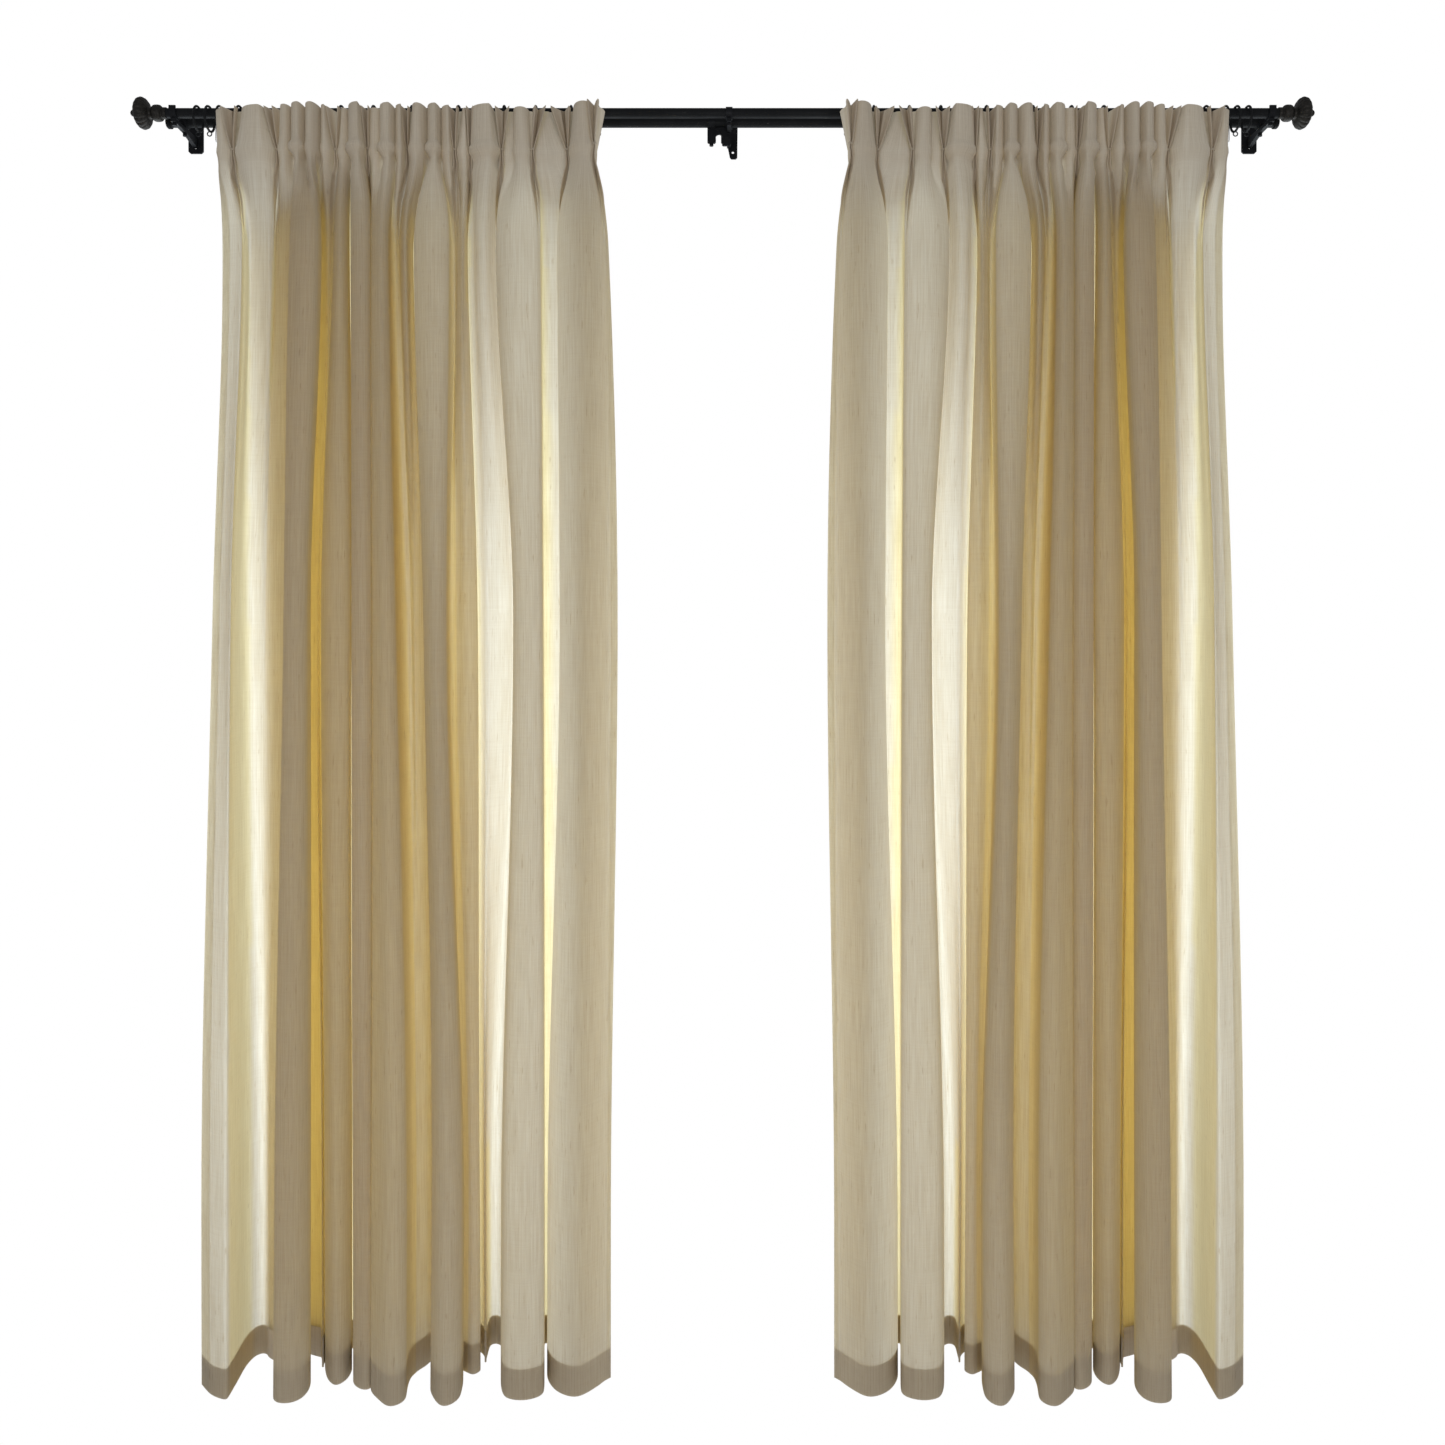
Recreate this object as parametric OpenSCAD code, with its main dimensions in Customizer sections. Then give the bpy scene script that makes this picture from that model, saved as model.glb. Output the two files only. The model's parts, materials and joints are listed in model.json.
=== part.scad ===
// A pair of pinch-pleated curtains on a double curtain rod.
// +X runs along the rods, +Y points into the wall and +Z is up. The wall is the plane y = 0,
// and the origin is the centre of the four wall holes of the two end brackets, level with the rods.

/* [Rods] */
// Outer diameter of both rods
rod_d = 19; // [16:0.5:19]
// Wall thickness of the rod tubes
rod_wall = 1.2; // [1:0.1:2]
// Length of the front rod, which carries the curtains
front_rod_len = 2166; // [2150:1:2176]
// Length of the rear rod, which can carry a sheer
rear_rod_len = 2190; // [2160:1:2196]
// Distance from the wall to the front rod's axis
front_reach = 100; // [98:1:104]
// Distance from the wall to the rear rod's axis
rear_reach = 54; // [50:1:56]

/* [Brackets] */
// Distance from the middle of the window to each end bracket
end_bracket_x = 1068; // [1062:1:1070]
// Width of an end bracket's wall plate
plate_w = 30; // [26:1:34]
// Height of an end bracket's wall plate
plate_h = 84; // [78:1:90]
// Distance between the two screw holes of an end plate
plate_hole_gap = 60; // [50:1:62]
// Diameter of the wall screw holes
screw_hole_d = 5.2; // [4:0.2:6]
// Width of a cup that a rod lies in
cup_w = 13; // [10:1:16]

/* [Rings and hooks] */
// Inner diameter of a curtain ring
ring_id = 42; // [38:0.5:43]
// Thickness of a ring's round bar
ring_bar = 4.5; // [3.5:0.1:4.6]
// Thickness of the hook wire
hook_wire = 1.8; // [1.4:0.1:2]

/* [Curtain panels] */
// Height of a curtain from its heading to its hem
drop = 2438; // [2000:1:2500]
// Height of the heading's top edge, measured from the rods' axis
heading_z = -9.5; // [-12:0.5:-8]
// Thickness of each section of gathered cloth
cloth_t = 3; // [2:0.5:5]

/* [Hidden] */
SIDES = ["left", "right"];
RINGS = 11;

$fn = 48;
BLACK = [0.07, 0.075, 0.08];
BRONZE = [0.12, 0.115, 0.105];
LINEN = [0.78, 0.71, 0.6];

gap = 0.3;               // running clearance between round parts
rod_r = rod_d / 2;
bore_r = rod_r - rod_wall;
plug_r = bore_r - 0.1;   // what is pushed into a tube's end
plug_len = 24;

// Where each ring hangs, as a distance from the middle of the window. The first holds the panel's
// outer edge and stays put, and the last leads the panel when it is drawn.
RING_X = [978, 940, 848, 741, 678, 603, 513, 424, 363, 294, 242];
PARKED_X = [1022, 1000];

ring_r = ring_id / 2;
ring_mid_r = ring_r + ring_bar / 2;
ring_z = rod_r + gap - ring_r;                 // a ring rests on the top of the rod
eye_r = 4.2;                                   // eyelet, to the middle of its wire
eye_bar = 2.2;
eye_z = ring_z - ring_r - ring_bar - eye_r + 0.6;
eye_low = eye_z - eye_r;                       // middle of the eyelet's lowest wire

// The three sections of a panel: inner and outer end as distances from the middle of the window,
// then how far their middle stands out from the wall at the heading and at the hem.
OUTER = [640, 975, 131.5, 30];
MIDDLE = [440, 760, 150, 115];
INNER = [214, 540, 170, 208];

module along_x(x, r, len) {
    translate([x, 0, 0]) rotate([0, 90, 0]) cylinder(r = r, h = len);
}

module tube_along_x(len) {
    difference() {
        along_x(-len / 2, rod_r, len);
        along_x(-len / 2 - 1, bore_r, len + 2);
    }
}

// ---- rods and what closes their ends ----

module front_rod() {
    color(BLACK) translate([0, -front_reach, 0]) tube_along_x(front_rod_len);
}

module rear_rod() {
    color(BLACK) translate([0, -rear_reach, 0]) tube_along_x(rear_rod_len);
}

// Profile of the finial along its axis: [distance from the rod's end, radius]. The points from
// the neck to the tip are joined by arcs that are worked out here.
function arc_points(c, size, from, to, steps) =
    [for (k = [0:steps]) let (a = from + (to - from) * k / steps)
        [c[0] + size[0] * cos(a), c[1] + size[1] * sin(a)]];
FERRULE_R = 11;
FINIAL_PROFILE = concat(
    [[0, 0], [0, FERRULE_R], [7, FERRULE_R]],
    arc_points([18, 9], [9, 7.5], 165, 15, 10),
    arc_points([47, 6], [14, 24.5], 160, 15, 16),
    arc_points([62, 0], [9, 7.5], 90, 0, 6)
);

module finial() {
    end_x = front_rod_len / 2;
    color(BRONZE) translate([end_x, -front_reach, 0]) {
        rotate([0, 90, 0]) rotate_extrude()
            polygon([for (p = FINIAL_PROFILE) [p[1], p[0]]]);
        along_x(-plug_len, plug_r, plug_len + 1);
    }
}

module finial_left() {
    mirror([1, 0, 0]) finial();
}

module finial_right() {
    finial();
}

module rear_end_cap() {
    cap_r = 12;
    cap_len = 8;
    translate([rear_rod_len / 2, -rear_reach, 0]) {
        along_x(0, cap_r, cap_len - 2);
        translate([cap_len - 2, 0, 0]) rotate([0, 90, 0]) cylinder(r1 = cap_r, r2 = cap_r - 2, h = 2);
        along_x(-plug_len, plug_r, plug_len + 1);
    }
}

module rear_end_caps() {
    color(BLACK) {
        rear_end_cap();
        mirror([1, 0, 0]) rear_end_cap();
    }
}

// ---- brackets ----

cup_in = rod_r + gap;
cup_out = cup_in + 3.2;
plate_t = 4;
arm_w = 8;
screw_r = 2;
hole_r = screw_hole_d / 2;

// A trough that holds a rod from below, open at the top. lip is how high its front wall stands.
module cup(x, reach, width, lip) {
    translate([x - width / 2, -reach, 0]) difference() {
        union() {
            along_x(0, cup_out, width);
            translate([0, -cup_out, 0]) cube([width, cup_out, lip]);
        }
        along_x(-1, cup_in, width + 2);
        translate([-1, -cup_in, 0]) cube([width + 2, 2 * cup_in, cup_out + lip]);
        translate([-1, 0, 0]) cube([width + 2, cup_out + 1, cup_out + lip]);
        translate([width / 2, 0, -cup_out - 1]) cylinder(r = screw_r + 0.05, h = cup_out);
    }
}

// The arm from the wall to the front cup, deeper at the wall. It passes under both cups and has a
// clear hole for each cup's set screw.
module arm(x) {
    difference() {
        translate([x + arm_w / 2, 0, 0]) rotate([90, 0, -90]) linear_extrude(arm_w) polygon([
            [plate_t, -32], [rear_reach, -21], [front_reach + cup_out - 4, -19],
            [front_reach + cup_out - 4, -12], [plate_t, -12]
        ]);
        for (reach = [rear_reach, front_reach]) translate([0, -reach, 0]) {
            along_x(x - arm_w, cup_out - 1, 2 * arm_w);
            translate([x, 0, -40]) cylinder(r = screw_r + 0.05, h = 40);
        }
    }
}

module screw_hole(x, z) {
    translate([x, 1, z]) rotate([90, 0, 0]) cylinder(r = hole_r, h = plate_t + 2);
}

module end_plate(x) {
    chamfer = 4;
    w = plate_w / 2;
    h = plate_h / 2;
    difference() {
        translate([x, 0, 0]) rotate([90, 0, 0]) linear_extrude(plate_t) polygon([
            [-w + chamfer, -h], [w - chamfer, -h], [w, -h + chamfer], [w, h - chamfer],
            [w - chamfer, h], [-w + chamfer, h], [-w, h - chamfer], [-w, -h + chamfer]
        ]);
        for (z = [-1, 1]) screw_hole(x, z * plate_hole_gap / 2);
    }
}

front_lip = 11;
centre_lip = 4;                  // the centre bracket's front cup is shallower
rear_lip = 5;

module end_bracket(x) {
    color(BLACK) {
        end_plate(x);
        arm(x);
        cup(x, front_reach, cup_w, front_lip);
        cup(x, rear_reach, cup_w, rear_lip);
    }
}

module bracket_left() {
    mirror([1, 0, 0]) end_bracket(end_bracket_x);
}

module bracket_right() {
    end_bracket(end_bracket_x);
}

// The centre bracket is a forked support: its plate has a narrow tongue, and a bridge under the
// rear rod carries a second rear cup, a leg and a lug.
centre_arm_x = 13;
centre_lug_x = -22;
centre_hole_x = 21;
CENTRE_HOLE_Z = [30, -40];

module centre_plate() {
    difference() {
        rotate([90, 0, 0]) linear_extrude(plate_t) polygon([
            [-3, -20], [10, -26], [15, -50], [18, -53], [27, -53], [30, -50],
            [31, 38], [27, 42], [1, 42], [-3, 38]
        ]);
        for (z = CENTRE_HOLE_Z) screw_hole(centre_hole_x, z);
    }
}

module centre_bridge() {
    thick = 6;
    translate([0, -rear_reach + thick / 2, 0]) rotate([90, 0, 0]) linear_extrude(thick)
        difference() {
            polygon([
                [-30, -11], [-30, -39], [-28, -41], [-15, -41], [-13, -38], [-13, -26],
                [-1, -26], [-1, -44], [1, -46], [15, -46], [17, -43], [17, -11]
            ]);
            translate([-7, -30]) circle(r = 6.5);
        }
}

module bracket_centre() {
    color(BLACK) {
        centre_plate();
        arm(centre_arm_x);
        cup(centre_arm_x, front_reach, cup_w, centre_lip);
        cup(centre_arm_x, rear_reach, cup_w, rear_lip);
        difference() {
            union() {
                centre_bridge();
                cup(centre_lug_x, rear_reach, cup_w, rear_lip);
            }
            translate([0, -rear_reach, 0]) along_x(-40, cup_in, 80);
            for (x = [centre_lug_x, centre_arm_x])
                translate([x, -rear_reach, -60]) cylinder(r = screw_r + 0.05, h = 60);
        }
    }
}

// A small screw that comes up through a cup and holds its rod. head_z is where its head begins.
module set_screw(x, reach, head_z) {
    head_r = 4;
    head_len = 5;
    translate([x, -reach, 0]) {
        translate([0, 0, head_z]) cylinder(r = screw_r, h = -rod_r - 0.05 - head_z);
        translate([0, 0, head_z - head_len]) cylinder(r = head_r, h = head_len);
    }
}

module set_screws() {
    color(BRONZE) {
        for (s = [-1, 1]) {
            set_screw(s * end_bracket_x, front_reach, -19.5);
            set_screw(s * end_bracket_x, rear_reach, -22);
        }
        set_screw(centre_arm_x, front_reach, -19.5);
        set_screw(centre_lug_x, rear_reach, -41.2);
    }
}

// ---- rings and hooks ----

module ring_at(x) {
    color(BLACK) translate([x, -front_reach, 0]) {
        translate([0, 0, ring_z]) rotate([0, 90, 0]) rotate_extrude()
            translate([ring_mid_r, 0]) circle(d = ring_bar);
        translate([0, 0, eye_z]) rotate([90, 0, 0]) rotate_extrude()
            translate([eye_r, 0]) circle(d = eye_bar, $fn = 32);
    }
}

module parked_rings() {
    for (x = PARKED_X) {
        ring_at(-x);
        ring_at(x);
    }
}

module ring_left(i) {
    ring_at(-RING_X[i - 1]);
}

module ring_right(i) {
    ring_at(RING_X[i - 1]);
}

// An arc of hook wire in the plane x = 0, about (y, z). Angles turn from +Y towards +Z.
module wire_arc(y, z, r, a, sweep) {
    translate([0, y, z]) rotate([90, 0, 90]) rotate([0, 0, a])
        rotate_extrude(angle = sweep) translate([r, 0]) circle(d = hook_wire, $fn = 32);
}

// A straight piece of hook wire in the plane x = 0, upright from (y, z).
module wire_up(y, z, len) {
    translate([0, y, z]) cylinder(d = hook_wire, h = len);
}

// A drapery pin: a saddle over the eyelet, a foot that reaches forward under the ring, and a
// pointed pin that goes up into the back of a pleat.
module hook_at(x) {
    saddle_r = 2.5;
    saddle_z = eye_low + eye_bar / 2 + hook_wire / 2 + 0.1 - saddle_r;
    bend_r = 4;
    bend_z = -60;
    pin_y = -23.2;
    back_y = -saddle_r - bend_r;
    front_y = pin_y + bend_r;
    point = 3;
    pin_top = -33;
    color([0.6, 0.6, 0.6]) translate([x, -front_reach, 0]) {
        wire_up(saddle_r, -54, saddle_z + 54);
        wire_arc(0, saddle_z, saddle_r, 0, 180);
        wire_up(-saddle_r, bend_z, saddle_z - bend_z);
        wire_arc(back_y, bend_z, bend_r, 270, 90);
        translate([0, back_y, bend_z - bend_r]) rotate([90, 0, 0])
            cylinder(d = hook_wire, h = back_y - front_y);
        wire_arc(front_y, bend_z, bend_r, 180, 90);
        wire_up(pin_y, bend_z, pin_top - point - bend_z);
        translate([0, pin_y, pin_top - point])
            cylinder(d1 = hook_wire, d2 = 0.4, h = point);
    }
}

module hook_left(i) {
    hook_at(-RING_X[i - 1]);
}

module hook_right(i) {
    hook_at(RING_X[i - 1]);
}

// ---- curtain panels ----

// One section of gathered cloth: a plain sheet that hangs from the heading to the hem.
module section(s) {
    top = s[2];
    low = s[3];
    hem_z = heading_z - drop;
    color(LINEN) translate([s[1], 0, 0]) rotate([90, 0, -90]) linear_extrude(s[1] - s[0])
        polygon([
            [top - cloth_t / 2, heading_z], [top + cloth_t / 2, heading_z],
            [low + cloth_t / 2, hem_z], [low - cloth_t / 2, hem_z]
        ]);
}

module panel_right(part) {
    section(part);
}

module panel_left(part) {
    mirror([1, 0, 0]) section(part);
}

front_rod();
rear_rod();
finial_left();
finial_right();
rear_end_caps();
bracket_left();
bracket_centre();
bracket_right();
set_screws();
parked_rings();
for (i = [1:RINGS]) ring_left(i);
for (i = [1:RINGS]) ring_right(i);
for (i = [1:RINGS]) hook_left(i);
for (i = [1:RINGS]) hook_right(i);
panel_left(OUTER);  // panel_left_outer
panel_left(MIDDLE);  // panel_left_middle
panel_left(INNER);  // panel_left_inner
panel_right(OUTER);  // panel_right_outer
panel_right(MIDDLE);  // panel_right_middle
panel_right(INNER);  // panel_right_inner
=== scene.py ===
"""Window curtains on a rod: two pleated linen panels, drawn back, on a black double rod.

Metres, in the CAD's own frame: the wall is y = 0, +X is the viewer's right and +Z is up.
Rods, rings, hooks and brackets are the CAD's. The finials and the cloth are made here.
"""

import json
import math

import bpy
import numpy as np
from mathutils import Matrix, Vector

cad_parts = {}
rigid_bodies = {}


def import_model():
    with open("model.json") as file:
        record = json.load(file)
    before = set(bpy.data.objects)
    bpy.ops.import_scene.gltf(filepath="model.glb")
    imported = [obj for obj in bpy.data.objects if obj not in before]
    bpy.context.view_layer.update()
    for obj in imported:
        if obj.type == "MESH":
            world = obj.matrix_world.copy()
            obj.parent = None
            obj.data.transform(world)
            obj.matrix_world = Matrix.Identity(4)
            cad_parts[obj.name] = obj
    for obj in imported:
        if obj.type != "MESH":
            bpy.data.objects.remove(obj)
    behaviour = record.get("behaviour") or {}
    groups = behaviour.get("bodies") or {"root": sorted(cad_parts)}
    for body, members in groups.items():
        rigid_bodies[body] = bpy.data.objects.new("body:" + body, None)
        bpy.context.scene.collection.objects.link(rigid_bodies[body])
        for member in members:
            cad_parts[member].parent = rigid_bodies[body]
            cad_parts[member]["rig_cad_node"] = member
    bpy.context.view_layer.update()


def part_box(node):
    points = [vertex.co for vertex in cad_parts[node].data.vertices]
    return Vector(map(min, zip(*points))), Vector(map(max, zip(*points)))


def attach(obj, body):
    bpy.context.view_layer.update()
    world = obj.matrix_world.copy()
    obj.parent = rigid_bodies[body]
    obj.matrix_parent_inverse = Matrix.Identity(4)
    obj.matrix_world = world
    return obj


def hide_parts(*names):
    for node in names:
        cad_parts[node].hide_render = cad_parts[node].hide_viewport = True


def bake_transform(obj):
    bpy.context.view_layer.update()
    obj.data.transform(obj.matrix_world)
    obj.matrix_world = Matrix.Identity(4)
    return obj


MM = 0.001
SIDES = {"left": -1, "right": 1}

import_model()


# ---- the curtain panel: its plan section at four heights ----

# One row for each line that runs down the cloth, from the panel's outer edge to its inner edge.
# Each pair is (distance from the middle of the window, depth from the wall), in mm, at the
# pleats' pinch, a little below it, at half height and from the knee down to the hem.
# A row may end with what is done at that line in the heading. pleated is a two-finger pinch pleat
# sewn there, with how far each finger's tip leans outward at the top, in mm. NIP is the front of a
# column that bulges and nips in strongly where the heading's stiffening ends.
NIP = ("nip", 0, 0)


def pleated(first, second):
    return ("pleat", first, second)


FOLD_LINES = [
    # outer edge strip, then the wide bright single layer
    ((968, 138), (955, 150), (975, 150), (994, 148)),
    ((959, 149), (930, 165), (947, 175), (956, 185)),
    ((944, 147), (910, 170), (924, 190), (927, 197)),
    ((939, 129), (915, 150), (936, 150), (929, 150), pleated(15, -9)),
    ((914, 131), (912, 140), (935, 130), (931, 122)),
    ((906, 160), (910, 130), (933, 110), (933, 95)),
    ((883, 166), (887, 140), (921, 90), (928, 62)),
    ((864, 160), (867, 140), (902, 90), (916, 52)),
    ((853, 129), (867, 110), (892, 85), (901, 60), pleated(18, 6)),
    # first front fold
    ((833, 168), (848, 118), (858, 88), (872, 78)),
    ((822, 140), (818, 132), (820, 118), (838, 118)),
    ((803, 179), (822, 168), (829, 177), (847, 180), NIP),
    ((797, 145), (800, 190), (817, 200), (833, 203)),
    ((796, 130), (778, 200), (798, 208), (810, 206)),
    ((795, 150), (761, 190), (784, 195), (788, 192)),
    # deep recess, then the second front fold
    ((779, 179), (762, 165), (791, 150), (782, 165)),
    ((768, 145), (778, 122), (806, 104), (795, 120)),
    # a lobe that lies behind the first front fold
    ((768, 138), (888, 100), (903, 72), (905, 44)),
    ((767, 134), (886, 87), (900, 59), (902, 30)),
    ((765, 140), (790, 92), (812, 60), (806, 46)),
    ((757, 166), (760, 130), (792, 90), (781, 100)),
    ((742, 128), (753, 120), (788, 85), (783, 80), pleated(11, -8)),
    ((740, 135), (743, 150), (768, 140), (763, 130)),
    ((727, 150), (726, 165), (730, 175), (736, 155)),
    ((719, 138), (719, 150), (707, 165), (720, 128)),
    ((716, 130), (723, 112), (719, 112), (720, 102)),
    # a lobe behind the second
    ((716, 130), (830, 70), (848, 48), (842, 26)),
    ((716, 129), (826, 60), (844, 36), (838, 15)),
    ((715, 130), (706, 88), (704, 60), (702, 54)),
    ((715, 134), (712, 120), (714, 104), (714, 94)),
    # third
    ((704, 165), (706, 166), (706, 165), (709, 142)),
    ((689, 179), (678, 185), (675, 190), (679, 168), NIP),
    ((680, 162), (667, 170), (663, 170), (668, 160)),
    ((680, 130), (678, 120), (680, 110), (681, 110), pleated(6, -4)),
    # a lobe behind the third and fourth
    ((679, 130), (697, 105), (697, 90), (700, 86)),
    ((678, 129), (693, 93), (692, 76), (694, 72)),
    ((677, 130), (653, 92), (640, 72), (645, 66)),
    ((676, 131), (674, 113), (676, 103), (677, 95)),
    # fourth
    ((666, 150), (668, 163), (665, 168), (668, 162)),
    ((655, 137), (652, 178), (647, 188), (640, 195)),
    ((633, 176), (642, 185), (632, 200), (615, 217), NIP),
    ((626, 160), (635, 165), (617, 185), (591, 196)),
    ((626, 132), (643, 120), (627, 130), (598, 150)),
    ((610, 168), (638, 110), (623, 100), (599, 132)),
    ((604, 128), (627, 115), (611, 85), (594, 115), pleated(6, -3)),
    # narrow fold that sinks into the second recess
    ((600, 140), (614, 150), (604, 90), (589, 105)),
    ((579, 174), (600, 165), (599, 85), (581, 95)),
    ((568, 146), (605, 110), (594, 82), (575, 80)),
    ((566, 132), (601, 100), (582, 80), (571, 70)),
    # a lobe behind this recess and the fifth front fold
    ((566, 131), (658, 76), (652, 50), (650, 46)),
    ((565, 130), (654, 66), (648, 38), (646, 34)),
    ((565, 133), (574, 86), (548, 62), (522, 56)),
    # fifth
    ((564, 150), (590, 150), (571, 150), (557, 150)),
    ((556, 170), (568, 180), (553, 190), (538, 195)),
    ((545, 173), (541, 190), (533, 208), (517, 217), NIP),
    ((539, 160), (517, 175), (520, 185), (493, 190)),
    ((539, 131), (523, 130), (530, 130), (497, 140)),
    ((520, 163), (516, 125), (534, 95), (507, 105)),
    ((514, 128), (509, 140), (525, 85), (498, 112), pleated(6, -6)),
    ((491, 150), (494, 155), (501, 95), (484, 120)),
    # wide single layer that stands back
    ((484, 128), (496, 100), (483, 70), (472, 105), pleated(2, -7)),
    ((484, 129), (542, 82), (550, 44), (512, 40)),
    ((484, 128), (539, 72), (547, 33), (508, 28)),
    ((483, 130), (490, 86), (478, 52), (470, 60)),
    ((469, 152), (478, 130), (470, 75), (464, 85)),
    ((443, 170), (455, 150), (445, 70), (465, 50), NIP),
    ((431, 158), (444, 120), (426, 55), (466, 20)),
    ((427, 135), (443, 90), (419, 40), (455, 14)),
    ((424, 128), (439, 95), (411, 60), (440, 30), pleated(7, -17)),
    # sixth
    ((420, 131), (434, 150), (401, 140), (425, 140)),
    ((402, 129), (420, 175), (389, 180), (406, 190)),
    ((386, 156), (389, 190), (366, 195), (375, 198)),
    ((369, 150), (353, 180), (341, 185), (347, 187)),
    ((364, 130), (347, 160), (340, 160), (340, 170), pleated(-10, -27)),
    ((361, 130), (354, 110), (351, 90), (358, 60)),
    ((351, 133), (353, 90), (357, 35), (360, 14)),
    ((320, 133), (326, 90), (329, 35), (350, 18)),
    # a lobe behind the seventh
    ((306, 131), (262, 82), (255, 38), (270, 24)),
    ((304, 130), (260, 92), (252, 50), (266, 36)),
    ((301, 129), (306, 94), (305, 62), (320, 48)),
    ((298, 128), (315, 100), (315, 80), (335, 70), pleated(27, -4)),
    # seventh, and the inner edge
    ((294, 130), (316, 150), (313, 140), (340, 112)),
    ((285, 150), (301, 175), (295, 180), (315, 170)),
    ((263, 182), (267, 195), (267, 195), (277, 191)),
    ((244, 165), (231, 175), (238, 165), (240, 160)),
    ((243, 140), (226, 150), (220, 135), (225, 140), pleated(8, -7)),
    ((241, 131), (219, 135), (202, 120), (215, 130)),
]
# Heights of those sections, in metres. Below the last one the section stays as it is.
LEVEL_Z = [-0.086, -0.27, -0.985, -2.15]

MARKED = [(n, *row[4]) for n, row in enumerate(FOLD_LINES) if row[4:]]
PLEATS = [(n, first, second) for n, kind, first, second in MARKED if kind == "pleat"]
NIPPED = [n for n, kind, _, _ in MARKED if kind == "nip"]

COLUMN_PITCH = 6.5 * MM     # of the mesh, where no pleat is near
FINGER_COLUMNS = 7          # mesh columns for one finger of a pleat
PLAIN_COLUMNS = 3           # the same at a plain line that has a pleat next to it
FINGER_REACH = 0.45         # how much of the way to the next line a pleat's cloth is drawn from
FINGER_DEPTH = 31 * MM
FINGER_HALF = 1.8 * MM      # half a finger's thickness
FINGER_GAP = 4              # mm between a finger's tip and the cloth beside it
FINGER_SPREAD = 9 * MM      # how far a pleat's two folds part below the pinch
NIP_FLARE = 7 * MM          # how far a nipped column bulges to each side
NIP_WAIST = 6 * MM          # and the most that it narrows below, on each side
NIP_SHARE = 0.4             # the most of its half width that it narrows by
NIP_FORWARD = 8 * MM        # how far its front bulges forward
NIP_BACK = 5 * MM           # and draws back below
ROOM_SHARE = 0.6            # the most that a pleat takes of the way to the next column's front
STRONG_NIP, SLIGHT_NIP = 1.0, 0.3
HEM_H = 58 * MM
SIDE_HEM = 38 * MM
INNER_SIDE_HEM = SIDE_HEM / 3
LAYER = 1.1 * MM            # how far a turned-in layer of cloth lies behind the face
OUTER_TURN = (7 * MM, -9 * MM)      # of the outer edge at the top: outward, and back to its hook
INNER_FLARE = (-15 * MM, -1 * MM)   # of the inner edge at the top: inward, and back

cad_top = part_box("panel_left_outer")[1].z
cad_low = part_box("panel_left_outer")[0].z
PINCH_Z = LEVEL_Z[0]
BULGE_Z, BULGE_HALF = -0.091, 8 * MM    # the columns' bulge: its middle and half its height
WAIST_Z, WAIST_HALF = -0.114, 12 * MM   # and their nip below it
SOFT_Z = -0.19              # where the cloth is no longer held in the heading's columns
BLEND_Z = -0.30             # where the pleats have opened out into the folds


def smoothstep(t):
    t = np.clip(t, 0, 1)
    return t * t * (3 - 2 * t)


def hump(z, middle, half_height):
    """A soft band across the cloth: 1 at its middle height and fading above and below it."""
    return np.exp(-((z - middle) / half_height) ** 2)[:, None]


def slopes(x, y):
    """Tangents for a curve through y at x, last axis, that never overshoots."""
    h = np.diff(x, axis=-1)
    d = np.diff(y, axis=-1) / h
    m = np.zeros_like(y)
    h0, h1, d0, d1 = h[..., :-1], h[..., 1:], d[..., :-1], d[..., 1:]
    w0, w1 = 2 * h1 + h0, h1 + 2 * h0
    same = d0 * d1 > 0
    safe0, safe1 = np.where(same, d0, 1), np.where(same, d1, 1)
    m[..., 1:-1] = np.where(same, (w0 + w1) / (w0 / safe0 + w1 / safe1), 0)
    m[..., 0], m[..., -1] = d[..., 0], d[..., -1]
    return m


def along(x, y, m, index, t):
    """The curve's value between points index and index + 1, t of the way."""
    def take(a, k):
        return np.take_along_axis(a, k, axis=-1)

    h = take(x, index + 1) - take(x, index)
    t2, t3 = t * t, t * t * t
    return (take(y, index) * (2 * t3 - 3 * t2 + 1) + take(m, index) * h * (t3 - 2 * t2 + t)
            + take(y, index + 1) * (3 * t2 - 2 * t3) + take(m, index + 1) * h * (t3 - t2))


def row_heights():
    """Heights of the mesh's rows, from the heading's top edge to the hem."""
    ends = [cad_top, PINCH_Z, BLEND_Z, cad_low + HEM_H, cad_low]
    steps = [12, 26, 95, 6]
    bands = [np.linspace(high, low, n + 1)[1:] for high, low, n in zip(ends, ends[1:], steps)]
    return np.concatenate([[cad_top], *bands])


def lines_at(z):
    """Where each fold line is at each height: two arrays, rows by lines, in metres."""
    table = np.array([row[:4] for row in FOLD_LINES], float) * MM
    far_below = 3.0
    levels = np.array([-h for h in LEVEL_Z] + [far_below])
    values = np.concatenate([table, table[:, -1:, :]], axis=1)
    depth_below = np.clip(-z, levels[0], levels[-1])
    index = np.clip(np.searchsorted(levels, depth_below, side="right") - 1, 0, len(levels) - 2)
    t = (depth_below - levels[index]) / (levels[index + 1] - levels[index])
    out = []
    for k in (0, 1):
        y = values[:, :, k]
        x = np.broadcast_to(levels, y.shape).copy()
        i = np.broadcast_to(index, (len(y), len(z)))
        out.append(along(x, y, slopes(x, y), i, np.broadcast_to(t, i.shape)).T)
    return out


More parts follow.
